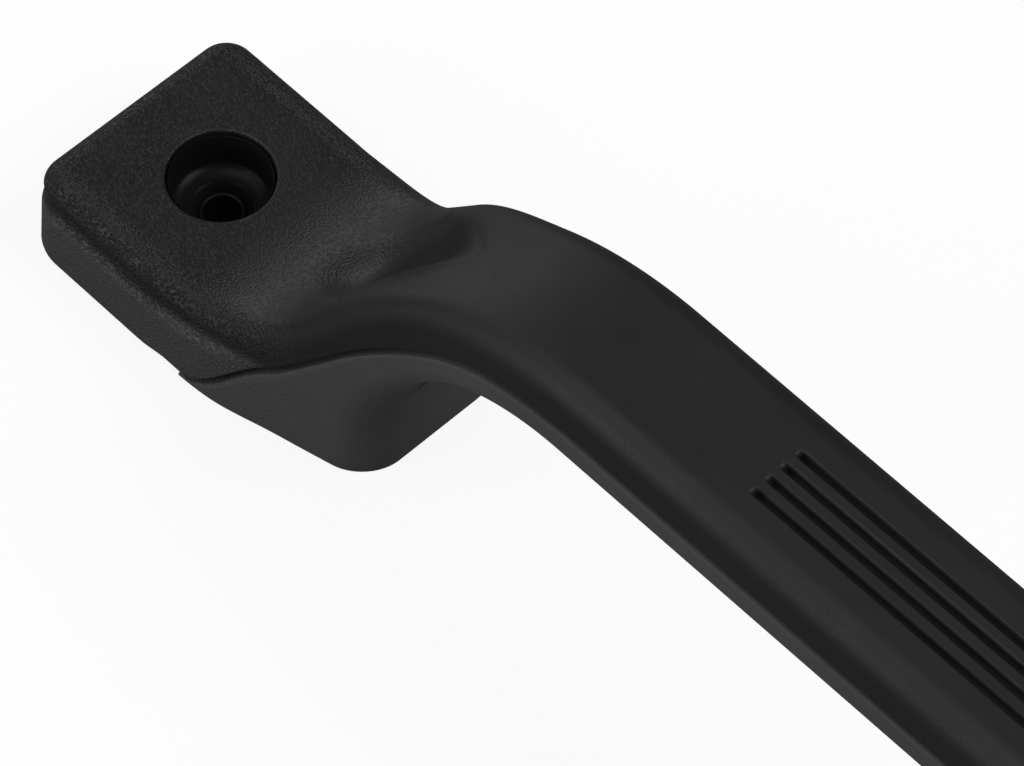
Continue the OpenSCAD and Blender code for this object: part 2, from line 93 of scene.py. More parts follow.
def railZ(e):  # line along the top of foot, neck and grip
    if e < rootFrom:
        return form["footHigh"]
    if e < rootTo:
        return form["footHigh"] + form["rootR"] - math.sqrt(form["rootR"] ** 2 - (e - rootFrom) ** 2)
    if e < shoulderFrom:
        return form["footHigh"] + (e - form["riseStart"]) * riseSlope
    if e < shoulderTo:
        return gripTop - form["shoulderR"] + math.sqrt(form["shoulderR"] ** 2 - (shoulderTo - e) ** 2)
    return gripTop


def steep(e):  # vertical measure of 1 mm square to that line
    slope = 0.0
    if rootFrom <= e < rootTo:
        slope = (e - rootFrom) / math.sqrt(form["rootR"] ** 2 - (e - rootFrom) ** 2)
    elif rootTo <= e < shoulderFrom:
        slope = riseSlope
    elif shoulderFrom <= e < shoulderTo:
        slope = (shoulderTo - e) / math.sqrt(form["shoulderR"] ** 2 - (shoulderTo - e) ** 2)
    return math.sqrt(1 + slope * slope)


def leanAt(e):  # the side leans out most at the neck's root and least along the grip
    outer, neck, grip = (math.tan(math.radians(form[k])) for k in ("draft", "neckDraft", "gripDraft"))
    peak = form["neckDraftAt"]
    rising = ease((e - form["cornerR"]) / (peak - form["cornerR"]))
    falling = ease((e - peak) / (form["taperEnd"] - peak))
    return mix(mix(outer, neck, rising), grip, falling)


def topHalf(e):  # half the width between the rolled edges' outer sides
    footLine = baseHalf - form["creaseStep"] - leanAt(e) * rollFoot(e)
    span = form["taperEnd"] - form["taperStart"]
    return mix(footLine, form["gripWide"] / 2, ease((e - form["taperStart"]) / span))


def scoop(e, y):  # round towards the foot, running out in a crested point up the neck
    half = form["scoopWide"] / 2
    blunt = form["pointBlunt"]
    long = (e - form["scoopAt"]) / (form["scoopLong"] / 2)
    wide = abs(y) / half
    wedge = (math.hypot(y, blunt) - blunt) / (math.hypot(half, blunt) - blunt)
    pointed = ease((long - form["pointFrom"]) / form["pointOver"])
    reach = mix(math.hypot(long, wide), long + wedge, pointed)
    sharp = mix(form["footSharp"], form["neckSharp"], ease((e - form["sharpFrom"]) / form["sharpRun"]))
    crest = form["crestHigh"] * pointed * hump((reach - form["crestAt"]) / form["crestHalf"])
    return form["scoopDepth"] * max(0.0, 1 - reach ** 2) ** sharp - crest


def rollBlend(e):
    return ease((e - form["taperStart"]) / form["rollRun"])


def rollY(e):  # width and height of the rolled edge between side and top
    return mix(form["footRoll"], form["gripRoll"], rollBlend(e))


def rollZ(e):
    return mix(form["footRollHigh"], form["gripRoll"], rollBlend(e))


def rollFoot(e):
    return railZ(e) - rollZ(e) * steep(e)


def rollPoint(e, turn):  # turn goes from a quarter circle at the side to none at the top
    y = topHalf(e) - rollY(e) * (1 - math.sin(turn))
    return y, railZ(e) - rollZ(e) * steep(e) * (1 - math.cos(turn)) - scoop(e, y)


def stepY(e):  # ledge on which the skirt starts, fading out where it runs into the seam
    return form["creaseStep"] * (1 - ease((e - form["stepEnds"]) / form["stepFade"]))


def sideY(e, z):  # half the width at height z, on the cover's leaning side
    return topHalf(e) + stepY(e) + leanAt(e) * max(0.0, rollFoot(e) - z)


def seamZ(e):  # the seam dives at its start and sags below the neck
    drop = mix(form["footHigh"], form["seamDrop"], ease((e - form["seamStart"]) / form["seamRun"]))
    return railZ(e) - drop - form["seamSag"] * hump((e - form["sagAt"]) / form["sagHalf"])


def edgeZ(e):  # lower edge of the cover: on the floor, then lifting into the seam
    if e < form["seamStart"]:
        return form["edgeLift"] * ease((e - form["liftFrom"]) / form["liftRun"])
    return max(form["edgeLift"], seamZ(e))


def ledgeZ(e):  # height of the ledge between skirt and rolled edge
    line = form["creaseZ"] + form["creaseClimb"] * max(0.0, e - form["creaseFrom"])
    return min(max(line, edgeZ(e) + form["creaseOverEdge"]), rollFoot(e) - form["creaseUnderRoll"])


def innerDistance(e, z):  # how far a point lies inside the inner face, arc and underside
    if z < arcZ:
        return form["footLong"] - e
    if e < arcE:
        return math.hypot(e - arcE, z - arcZ) - form["innerR"]
    return z - form["fingerClear"]


def innerEdgeR(e, z):  # radius of their long edges, which shrinks on the way up the arc
    if z < arcZ:
        return form["footEdgeR"]
    if e >= arcE:
        return form["gripEdgeR"]
    turn = math.degrees(math.atan2(z - arcZ, arcE - e))
    return mix(form["footEdgeR"], form["gripEdgeR"], ease(turn / form["gripEdgeTurn"]))


def edgeCut(d, r):  # how much an edge of radius r takes off at depth d
    u = min(r, max(0.0, d))
    return r - math.sqrt(max(0.0, r * r - (r - u) ** 2))


# Turning profiles into meshes
latheSteps = 96
axisR = 0.001  # keeps a turned profile just off its axis
weldWithin = 1e-7


def screwX(side):
    return side * form["screwSpacing"] / 2


def atStation(side, e, y, z):
    return (side * (halfLong - e), y, z)


def atCorner(side, turn, y, z):  # turn in degrees round the foot's outer corner
    inset = baseHalf - y
    gain = form["cornerGain"] * ease((z - form["creaseZ"]) / form["gainHigh"])
    r = max(form["cornerLeastR"], form["cornerR"] - inset - gain)
    a = math.radians(turn)
    return (side * (halfLong - inset - r * (1 - math.cos(a))), y - r * (1 - math.sin(a)), z)


def mirrored(points):
    return [(x, -y, z) for x, y, z in points]


def spread(start, end, count):
    return [mix(start, end, i / count) for i in range(count + 1)]


def ringOf(outside, crown, inside, ceiling):  # once round a section, outside and back inside
    return mirrored(outside) + crown + outside[::-1] + inside + ceiling + mirrored(inside)[::-1]


def meshFrom(name, points, faces):
    mesh = bpy.data.meshes.new(name)
    mesh.from_pydata([(x * mm, y * mm, z * mm) for x, y, z in points], [], faces)
    mesh.validate()
    piece = bpy.data.objects.new(name, mesh)
    bpy.context.scene.collection.objects.link(piece)
    return piece


def tubeOfRings(rings):  # closed rings joined into one tube, with its two ends left open
    columns = len(rings[0])
    points = [p for ring in rings for p in ring]
    faces = []
    for i in range(len(rings) - 1):
        a = i * columns
        b = a + columns
        for j in range(columns):
            k = (j + 1) % columns
            faces.append((a + j, b + j, b + k, a + k))
    return points, faces


def smoothShade(piece, angle):
    piece.data.shade_smooth()
    piece.data.set_sharp_from_angle(angle=math.radians(angle))


def wallStrips(first, sideCount, count):  # closes a mirrored outline of count points, side to side
    last = first + count - 1
    faces = [(first + k, first + k + 1, last - 1 - k, last - k) for k in range(sideCount - 1)]
    if count > 2 * sideCount:
        faces.append(tuple(range(first + sideCount - 1, last - sideCount + 2)))
    return faces


def endWalls(rings, sideCount, outerCount, innerSideCount):  # closes the tube's first and last ring
    columns = len(rings[0])
    faces = []
    for first in (0, (len(rings) - 1) * columns):
        base = first + outerCount
        wall = wallStrips(first, sideCount, outerCount)
        wall += wallStrips(base, innerSideCount, columns - outerCount)
        wall.append((first, base - 1, base, first + columns - 1))
        faces += [face[::-1] for face in wall] if first else wall
    return faces


def applyCuts(piece, cutters):
    for cutter in cutters:
        cut = piece.modifiers.new("cut", "BOOLEAN")
        cut.operation = "DIFFERENCE"
        cut.solver = "EXACT"
        cut.object = cutter
    graph = bpy.context.evaluated_depsgraph_get()
    done = bpy.data.meshes.new_from_object(piece.evaluated_get(graph))
    piece.modifiers.clear()
    piece.data = done
    for cutter in cutters:
        bpy.data.objects.remove(cutter, do_unlink=True)


def fixNormals(piece):
    work = bmesh.new()
    work.from_mesh(piece.data)
    bmesh.ops.remove_doubles(work, verts=work.verts, dist=weldWithin)
    bmesh.ops.recalc_face_normals(work, faces=work.faces)
    work.to_mesh(piece.data)
    work.free()


def lathe(name, profile, x):  # profile of (radius, z) pairs, closed on itself, turned about x
    points = []
    faces = []
    count = len(profile)
    for i in range(latheSteps):
        a = 2 * math.pi * i / latheSteps
        for r, z in profile:
            points.append((x + r * math.cos(a), r * math.sin(a), z))
    for i in range(latheSteps):
        n = (i + 1) % latheSteps
        for j in range(count):
            k = (j + 1) % count
            faces.append((i * count + j, n * count + j, n * count + k, i * count + k))
    piece = meshFrom(name, points, faces)
    fixNormals(piece)
    return piece


# Cover: the grained moulding that is seen from above
cover = {
    "cornerTurns": 14, "edgeSteps": 4, "skirtSteps": 12, "ledgeSteps": 10, "rollSteps": 18,
    "crownColumns": 100, "insideColumns": 8,
    "footStep": 2.2, "neckFrom": 26.8, "neckStep": 0.8, "neckPast": 2.0, "gripStep": 1.6,
    "edgeRound": 0.9, "leastSkirt": 0.1, "ledgeBelow": 0.6, "ledgeAbove": 1.3, "sharpAngle": 40,
    "innerCorner": ((0.0, 2.0), (0.8, 0.4), (3.0, 0.0)),  # inwards and down
    "grooves": 4, "groovePitch": 2.78, "grooveFlat": 0.25, "grooveWall": 0.5, "grooveDeep": 0.8,
    "grooveEnd": 1.0, "grooveLong": 65.0, "pocketDeep": 0.4, "pocketLong": 1.3,
    "pocketStep": 0.2, "pocketBefore": 0.4, "pocketAfter": 2.8, "grooveStep": 3.0,
    "valleyDeep": 0.45, "valleyAt": 2.2, "valleyHigh": 1.7,
    "holeR": 8.0, "holeLow": 6.0, "holeHigh": 17.99, "holeFlare": 0.05,
    "rimRound": 0.4, "rimSteps": 6, "rimSkim": 0.01,
}
grooveStart = halfLong - cover["grooveLong"] / 2


def grooveDepth(e, y):  # finger grooves along the grip, a little deeper at their ends
    pitch = cover["groovePitch"]
    if abs(y) > (cover["grooves"] + 1) * pitch / 2:
        return 0.0
    outermost = (cover["grooves"] - 1) / 2
    nearest = min(outermost, max(-outermost, math.floor(y / pitch) + 0.5)) * pitch
    across = 1 - ease((abs(y - nearest) - cover["grooveFlat"]) / cover["grooveWall"])
    along = e - grooveStart
    pocket = cover["pocketDeep"] * hump((along - cover["pocketLong"]) / cover["pocketLong"])
    return (cover["grooveDeep"] + pocket) * across * ease(along / cover["grooveEnd"])


def valleyCut(e, z):  # hollow along the foot of the rolled edge, just above the ledge
    fade = stepY(e) / form["creaseStep"]
    return cover["valleyDeep"] * fade * hump((z - ledgeZ(e) - cover["valleyAt"]) / cover["valleyHigh"])


def coverSide(e):  # lower edge up to the start of the crown
    low, ledge, r = edgeZ(e), ledgeZ(e), cover["edgeRound"]
    pts = []
    for i in range(cover["edgeSteps"]):
        a = math.radians(90 * i / cover["edgeSteps"])
        pts.append((sideY(e, low + r) - r + r * math.sin(a), low + r - r * math.cos(a)))
    skirtTop = max(low + r + cover["leastSkirt"], ledge - cover["ledgeBelow"])
    for z in spread(low + r, skirtTop, cover["skirtSteps"]):
        pts.append((sideY(e, z), z))
    for i in range(1, cover["ledgeSteps"] + 1):
        t = i / cover["ledgeSteps"]
        z = mix(skirtTop, ledge + cover["ledgeAbove"], t)
        pts.append((sideY(e, z) - stepY(e) * ease(t) - valleyCut(e, z), z))
    for i in range(cover["rollSteps"] + 1):
        y, z = rollPoint(e, math.radians(90 * (1 - i / (cover["rollSteps"] + 1))))
        pts.append((y - valleyCut(e, z), z))
    return pts


def coverInside(e):  # lower edge up to the start of the ceiling, with a bevelled corner
    half = topHalf(e) - form["coverWall"]
    top = railZ(e) - form["coverWall"] * steep(e)
    corner = [(half - inwards, top - down * steep(e)) for inwards, down in cover["innerCorner"]]
    return [(sideY(e, edgeZ(e)) - form["coverWall"], edgeZ(e))] + corner


def cornerRing(side, turn):
    e = form["cornerR"]
    outside = [atCorner(side, turn, y, z) for y, z in coverSide(e)]
    inside = [atCorner(side, turn, y, z) for y, z in coverInside(e)]
    x, y, z = atCorner(side, turn, topHalf(e) - rollY(e), railZ(e))
    crown = [(x, y * t, z) for t in spread(-1, 1, cover["crownColumns"])]
    x, y, z = inside[-1]
    ceiling = [(x, y * t, z) for t in spread(1, -1, cover["insideColumns"])[1:-1]]
    return ringOf(outside, crown, inside, ceiling)


def stationRing(side, e):
    outside = [atStation(side, e, y, z) for y, z in coverSide(e)]
    inside = [atStation(side, e, y, z) for y, z in coverInside(e)]
    half = topHalf(e) - rollY(e)
    crown = [atStation(side, e, y, railZ(e) - scoop(e, y) - grooveDepth(e, y))
             for y in spread(-half, half, cover["crownColumns"])]
    x, half, top = inside[-1]
    ceiling = [(x, y, top - scoop(e, y)) for y in spread(half, -half, cover["insideColumns"])[1:-1]]
    return ringOf(outside, crown, inside, ceiling)


def holeProfile():  # cuts the recess hole and rounds its rim
    top = form["footHigh"] - cover["rimSkim"]
    r, rim, high = cover["holeR"], cover["rimRound"], cover["holeHigh"]
    profile = [(axisR, cover["holeLow"]), (r, cover["holeLow"]), (r, top - rim)]
    for i in range(1, cover["rimSteps"] + 1):
        a = math.radians(90 * i / cover["rimSteps"])
        profile.append((r + rim - rim * math.cos(a), top - rim + rim * math.sin(a)))
    return profile + [(r + rim + cover["holeFlare"], high), (axisR, high)]


def coverStations():  # finer along the neck, and finest at the ends of the grooves
    marks = [form["cornerR"], cover["neckFrom"], shoulderTo + cover["neckPast"],
             grooveStart - cover["pocketBefore"], grooveStart + cover["pocketAfter"], halfLong]
    steps = [cover[k] for k in ("footStep", "neckStep", "gripStep", "pocketStep", "grooveStep")]
    stations = marks[:1]
    for start, end, step in zip(marks, marks[1:], steps):
        stations += spread(start, end, round((end - start) / step))[1:]
    return stations


def buildCover():
    stations = coverStations()
    turns = spread(0, 90, cover["cornerTurns"])[:-1]
    rings = [cornerRing(-1, turn) for turn in turns] + [stationRing(-1, e) for e in stations]
    rings += [stationRing(1, e) for e in stations[-2::-1]]
    rings += [cornerRing(1, turn) for turn in turns[::-1]]
    points, faces = tubeOfRings(rings)
    sideCount = len(coverSide(form["cornerR"]))
    outerCount = 2 * sideCount + cover["crownColumns"] + 1
    faces += endWalls(rings, sideCount, outerCount, len(coverInside(form["cornerR"])))
    piece = meshFrom("grainedCover", points, faces)
    fixNormals(piece)
    applyCuts(piece, [lathe("holeCutter", holeProfile(), screwX(side)) for side in (-1, 1)])
    smoothShade(piece, cover["sharpAngle"])
    return piece


# Body: the moulding below the seam, and the screw tower that stands in each foot
body = {
    "levels": 30, "cornerTurns": 8, "baseSteps": 18, "edgeSteps": 12, "faceSteps": 8, "arcSteps": 60,
    "gripStep": 3.0, "hiddenStations": (14.0, 26.0), "insideLevels": (0.6, 0.3, 0.12, 0.0),
    "seamAtEdge": 45.0, "seamAtFace": 49.0, "seamAtArc": 54.0, "arcSpread": 1.3, "levelSpread": 1.7,
    "seamDip": 0.9, "dipEase": 8.0, "seamRound": 0.6, "seamBevel": 0.3, "leastR": 0.8,
    "flankFrom": 34.0, "tongueDrop": 0.3, "hiddenSteps": (0.0, 0.02, 0.1), "hiddenProud": 0.2,
    "sharpAngle": 40,
}
tower = {
    "outerR": 9.2, "lipR": 7.75, "lipWall": 0.3, "lipDrop": 0.7, "lipBevel": 0.1,
    "bowlR": 4.6, "bowlDeep": 7.45, "bowlHigh": 1.4, "bowlGap": 0.2, "bowlSteps": 14,
    "throatR": 4.25, "throatDeep": 7.75, "seatR": 3.6, "seatDeep": 8.95,
    "seatLipR": 3.5, "seatLipHigh": 0.4, "seatLipSteps": 9,
    "screwR": 2.7, "screwDeep": 9.1, "tubeR": 5.2, "coreR": 7.4, "coreHigh": 4.2,
    "cutLow": -2.0, "cutHigh": 20.0, "sharpAngle": 35,
}


def tongueY(e):  # the tongue stands inside the cover, with a small fit between them
    return topHalf(e) - form["coverWall"] - form["fit"]


def tongueTop(e):
    inner = max(rollZ(e) - form["coverWall"], body["leastR"])
    return railZ(e) - (form["coverWall"] + inner) * steep(e) - body["tongueDrop"]


def flushY(e, z):  # outside of the body, a little inside the cover's side
    return sideY(e, z) - form["seamProud"] - edgeCut(innerDistance(e, z), innerEdgeR(e, z))


def insideY(e, z):  # inside of the body's wall
    r = max(innerEdgeR(e, z) - form["bodyWall"], body["leastR"])
    return tongueY(e) - form["tongueThick"] - edgeCut(innerDistance(e, z) - form["bodyWall"], r)


def lowerLine(o):  # base, inner face, arc and underside, pushed inwards by o, as (e, z, seam's e)
    start = body["flankFrom"]
    r = form["footEdgeR"]
    long = form["footLong"] - o
    atEdge, atFace, atArc = body["seamAtEdge"], body["seamAtFace"], body["seamAtArc"]
    line = []
    for t in spread(0, 1, body["baseSteps"])[:-1]:
        line.append((mix(start, long - r, t), o, mix(start, atEdge, t)))
    for t in spread(0, 1, body["edgeSteps"])[:-1]:
        line.append((long - r * (1 - math.sin(math.radians(90 * t))), o, mix(atEdge, atFace, t)))
    for t in spread(0, 1, body["faceSteps"]):
        line.append((long, mix(o, arcZ, t), mix(atFace, atArc, t)))
    r = form["innerR"] + o
    for t in spread(0, 1, body["arcSteps"])[1:]:
        a = math.radians(90 * t)
        seamE = mix(atArc, arcE, t ** body["arcSpread"])
        line.append((arcE - r * math.cos(a), arcZ + r * math.sin(a), seamE))
    for e in spread(arcE, halfLong, round((halfLong - arcE) / body["gripStep"]))[1:]:
        line.append((e, form["fingerClear"] + o, e))
    return line


def outerLevels():  # shares of the way from the lower line up to the seam
    return spread(1, 0, body["levels"])


def bodyFlank(side, lowE, lowZ, seamE):  # tongue, seam edge, and down to the lower line
    dip = body["seamDip"] * ease((seamE - form["seamStart"]) / body["dipEase"])
    seamTop = edgeZ(seamE) - form["seamGap"] - dip
    r = min(body["seamRound"], seamTop / 2)
    bevel = body["seamBevel"] * r
    topY = flushY(seamE, seamTop - r)
    pts = [atStation(side, seamE, tongueY(seamE), tongueTop(seamE)),
           atStation(side, seamE, tongueY(seamE), seamTop),
           atStation(side, seamE, topY - r, seamTop),
           atStation(side, seamE, topY - bevel, seamTop - bevel)]
    for k in outerLevels():
        f = k ** body["levelSpread"]
        e, z = mix(lowE, seamE, f), mix(lowZ, seamTop - r, f)
        pts.append(atStation(side, e, flushY(e, z), z))
    return pts


def bodyInside(side, lowE, lowZ, seamE):  # the same way down the inside of the wall
    top = tongueTop(seamE)
    pts = [atStation(side, seamE, tongueY(seamE) - form["tongueThick"], top)]
    for f in body["insideLevels"]:
        e, z = mix(lowE, seamE, f), mix(lowZ, top, f)
        pts.append(atStation(side, e, insideY(e, z), z))
    return pts


def hiddenFlank(e):  # inside the cover's skirt, with as many points as bodyFlank has
    y = tongueY(e)
    ledge = form["edgeLift"] - form["seamGap"]
    pts = [(y, tongueTop(e))] + [(y + step, ledge) for step in body["hiddenSteps"]]
    return pts + [(y + body["hiddenProud"], ledge * k) for k in outerLevels()]


def hiddenInside(e):
    y = tongueY(e) - form["tongueThick"]
    top = tongueTop(e)
    return [(y, top)] + [(y, mix(form["bodyWall"], top, f)) for f in body["insideLevels"]]


def bodyRings(side):
    corner = form["cornerR"]
    rings = []
    for turn in spread(0, 90, body["cornerTurns"])[:-1]:
        outside = [atCorner(side, turn, y, z) for y, z in hiddenFlank(corner)]
        inside = [atCorner(side, turn, y, z) for y, z in hiddenInside(corner)]
        rings.append(ringOf(outside, [], inside, []))
    for e in (corner, *body["hiddenStations"], form["seamStart"]):
        outside = [atStation(side, e, y, z) for y, z in hiddenFlank(e)]
        inside = [atStation(side, e, y, z) for y, z in hiddenInside(e)]
        rings.append(ringOf(outside, [], inside, []))
    for outer, inner in zip(lowerLine(0), lowerLine(form["bodyWall"])):
        rings.append(ringOf(bodyFlank(side, *outer), [], bodyInside(side, *inner), []))
    return rings


def buildBody():
    rings = bodyRings(-1) + bodyRings(1)[-2::-1]
    points, faces = tubeOfRings(rings)
    flankCount = len(hiddenFlank(form["cornerR"]))
    faces += endWalls(rings, flankCount, 2 * flankCount, len(hiddenInside(form["cornerR"])))
    piece = meshFrom("ribbedBody", points, faces)
    fixNormals(piece)
    r, cutLow, cutHigh = tower["outerR"], tower["cutLow"], tower["cutHigh"]
    profile = [(axisR, cutLow), (r, cutLow), (r, cutHigh), (axisR, cutHigh)]
    applyCuts(piece, [lathe("floorCutter", profile, screwX(side)) for side in (-1, 1)])
    smoothShade(piece, body["sharpAngle"])
    return piece


def towerProfile():  # the tube for the screw, its seat, the bowl, and the wall up to the lip
    high = form["footHigh"]
    lipTop = high - tower["lipDrop"]
    shoulder = high - form["coverWall"] - form["fit"]
    wellR = tower["lipR"] - tower["lipWall"]
    bevel = tower["lipBevel"]
    seatZ, bowlZ = high - tower["seatDeep"], high - tower["bowlDeep"]
    pts = [(tower["tubeR"], 0), (tower["screwR"], 0), (tower["screwR"], high - tower["screwDeep"])]
    middle = (tower["seatLipR"] + tower["screwR"]) / 2
    half = (tower["seatLipR"] - tower["screwR"]) / 2
    for t in spread(0, 180, tower["seatLipSteps"])[1:-1]:  # small rounded lip round the screw hole
        a = math.radians(t)
        pts.append((middle - half * math.cos(a), seatZ + tower["seatLipHigh"] * math.sin(a)))
    pts.append((tower["seatR"], seatZ))
    pts += [(tower["throatR"], high - tower["throatDeep"]), (tower["bowlR"], bowlZ)]
    dish = wellR - tower["bowlGap"] - tower["bowlR"]
    for t in spread(0, 90, tower["bowlSteps"])[1:-1]:  # bowl from the throat up into the wall
        a = math.radians(t)
        pts.append((tower["bowlR"] + dish * math.sin(a), bowlZ + tower["bowlHigh"] * (1 - math.cos(a))))
    pts += [(wellR, lipTop - 1.5 * bevel), (wellR + bevel, lipTop)]
    pts += [(tower["lipR"] - bevel, lipTop), (tower["lipR"], lipTop - bevel), (tower["lipR"], shoulder)]
    pts += [(tower["outerR"], shoulder), (tower["outerR"], 0), (tower["coreR"], 0)]
    return pts + [(tower["coreR"], tower["coreHigh"]), (tower["tubeR"], tower["coreHigh"])]


def buildTowers():
    towers = [lathe("screwTower", towerProfile(), screwX(side)) for side in (-1, 1)]
    bpy.ops.object.select_all(action="DESELECT")
    for piece in towers:
        smoothShade(piece, tower["sharpAngle"])
        piece.select_set(True)
    joined = towers[0]
    bpy.context.view_layer.objects.active = joined
    bpy.ops.object.join()
    joined.name = "screwTowers"
    return joined


# Shader effects that the materials share
def newGroup(name, inputs, outputs):  # takes a place and named numbers, and puts out numbers
    group = bpy.data.node_groups.new(name, "ShaderNodeTree")
    group.interface.new_socket(name="Vector", in_out="INPUT", socket_type="NodeSocketVector")
    for label, value in inputs.items():
        socket = group.interface.new_socket(name=label, in_out="INPUT", socket_type="NodeSocketFloat")
        socket.default_value = value
    for label in outputs:
        group.interface.new_socket(name=label, in_out="OUTPUT", socket_type="NodeSocketFloat")
    return group, group.nodes.new("NodeGroupInput"), group.nodes.new("NodeGroupOutput")


def mathNode(tree, operation, a, b=None, clamp=False):
    node = tree.nodes.new("ShaderNodeMath")
    node.operation = operation
    node.use_clamp = clamp
    for value, socket in zip((a, b), node.inputs):
        if isinstance(value, (int, float)):
            socket.default_value = value
        elif value is not None:
            tree.links.new(value, socket)
    return node.outputs[0]


def remap(tree, value, fromLow, fromHigh, toLow, toHigh, smooth=True):
    node = tree.nodes.new("ShaderNodeMapRange")
    node.interpolation_type = "SMOOTHSTEP" if smooth else "LINEAR"
    for label, number in (("From Min", fromLow), ("From Max", fromHigh),
                          ("To Min", toLow), ("To Max", toHigh)):
        node.inputs[label].default_value = number
    tree.links.new(value, node.inputs["Value"])
    return node.outputs["Result"]


pebble = {
    "wobbleScale": 0.6, "wobbleDetail": 1.0, "smoothness": 0.35, "domeReach": 0.75,
    "creaseWide": 0.12, "fineScale": 2.3, "fineDetail": 2.0, "fineShare": 0.25,
}


def makePebbleGrain():  # moulded leather grain: rounded pebbles with creases between them
    group, groupIn, groupOut = newGroup(
        "pebbleGrain", {"Scale": 2000.0, "Warp": 0.0002}, ["Height", "Creases"])
    link = group.links.new
    wobble = group.nodes.new("ShaderNodeTexNoise")
    wobble.inputs["Detail"].default_value = pebble["wobbleDetail"]
    link(groupIn.outputs["Vector"], wobble.inputs["Vector"])
    slower = mathNode(group, "MULTIPLY", groupIn.outputs["Scale"], pebble["wobbleScale"])
    link(slower, wobble.inputs["Scale"])
    centred = group.nodes.new("ShaderNodeVectorMath")
    centred.operation = "SUBTRACT"
    centred.inputs[1].default_value = (0.5, 0.5, 0.5)
    link(wobble.outputs["Color"], centred.inputs[0])
    scaled = group.nodes.new("ShaderNodeVectorMath")
    scaled.operation = "SCALE"
    link(centred.outputs["Vector"], scaled.inputs[0])
    link(groupIn.outputs["Warp"], scaled.inputs["Scale"])
    moved = group.nodes.new("ShaderNodeVectorMath")
    moved.operation = "ADD"
    link(groupIn.outputs["Vector"], moved.inputs[0])
    link(scaled.outputs["Vector"], moved.inputs[1])
    cells = group.nodes.new("ShaderNodeTexVoronoi")
    cells.feature = "SMOOTH_F1"
    cells.inputs["Smoothness"].default_value = pebble["smoothness"]
    link(moved.outputs["Vector"], cells.inputs["Vector"])
    link(groupIn.outputs["Scale"], cells.inputs["Scale"])
    gaps = group.nodes.new("ShaderNodeTexVoronoi")
    gaps.feature = "DISTANCE_TO_EDGE"
    link(moved.outputs["Vector"], gaps.inputs["Vector"])
    link(groupIn.outputs["Scale"], gaps.inputs["Scale"])
    fine = group.nodes.new("ShaderNodeTexNoise")
    fine.inputs["Detail"].default_value = pebble["fineDetail"]
    link(groupIn.outputs["Vector"], fine.inputs["Vector"])
    finer = mathNode(group, "MULTIPLY", groupIn.outputs["Scale"], pebble["fineScale"])
    link(finer, fine.inputs["Scale"])
    dome = remap(group, cells.outputs["Distance"], 0.0, pebble["domeReach"], 1.0, 0.0)
    ridge = remap(group, gaps.outputs["Distance"], 0.0, pebble["creaseWide"], 0.0, 1.0)
    pebbles = mathNode(group, "MULTIPLY", dome, ridge)
    rough = mathNode(group, "MULTIPLY", fine.outputs["Fac"], pebble["fineShare"])
    link(mathNode(group, "ADD", pebbles, rough), groupOut.inputs["Height"])
    link(mathNode(group, "SUBTRACT", 1.0, ridge), groupOut.inputs["Creases"])
    return group


handling = {"cloudDetail": 4.0, "specksFrom": 0.975, "specksTo": 0.98, "speckR": 0.05, "speckFade": 0.1}


def makeHandlingMarks():  # cloudy handling wear, and specks of dust
    group, groupIn, groupOut = newGroup(
        "handlingMarks", {"Cloud Scale": 60.0, "Speck Scale": 700.0}, ["Clouds", "Specks"])
    link = group.links.new
    clouds = group.nodes.new("ShaderNodeTexNoise")
    clouds.inputs["Detail"].default_value = handling["cloudDetail"]
    link(groupIn.outputs["Vector"], clouds.inputs["Vector"])
    link(groupIn.outputs["Cloud Scale"], clouds.inputs["Scale"])
    dots = group.nodes.new("ShaderNodeTexVoronoi")
    link(groupIn.outputs["Vector"], dots.inputs["Vector"])
    link(groupIn.outputs["Speck Scale"], dots.inputs["Scale"])
    picked = remap(group, dots.outputs["Color"], handling["specksFrom"], handling["specksTo"], 0.0, 1.0)
    small = remap(group, dots.outputs["Distance"], handling["speckR"], handling["speckFade"], 1.0, 0.0)
    link(clouds.outputs["Fac"], groupOut.inputs["Clouds"])
    link(mathNode(group, "MULTIPLY", picked, small), groupOut.inputs["Specks"])
    return group


wear = {  # lengths in mm; grainLeft, scoopSoft and scoopGrain are shares; besides the worn grain, these place the painted light on the skirt and the painted shade in the hollows
    "grainFrom": 42.0, "grainTo": 74.0, "grainLeft": 0.10,
    "scoopAt": 61.0, "scoopLong": 11.0, "scoopWide": 10.0, "scoopSoft": 0.15, "scoopGrain": 0.7,
    "skirtBelow": -0.1, "skirtAbove": 1.6, "skirtFrom": 44.0, "skirtTo": 56.0,
    "sideFrom": 14.2, "sideTo": 17.2, "endFrom": 2.0, "endTo": 6.0,
    "slotHalf": 6.2, "slotLow": 0.62, "slotHigh": 0.02, "slotBefore": 0.2,
}


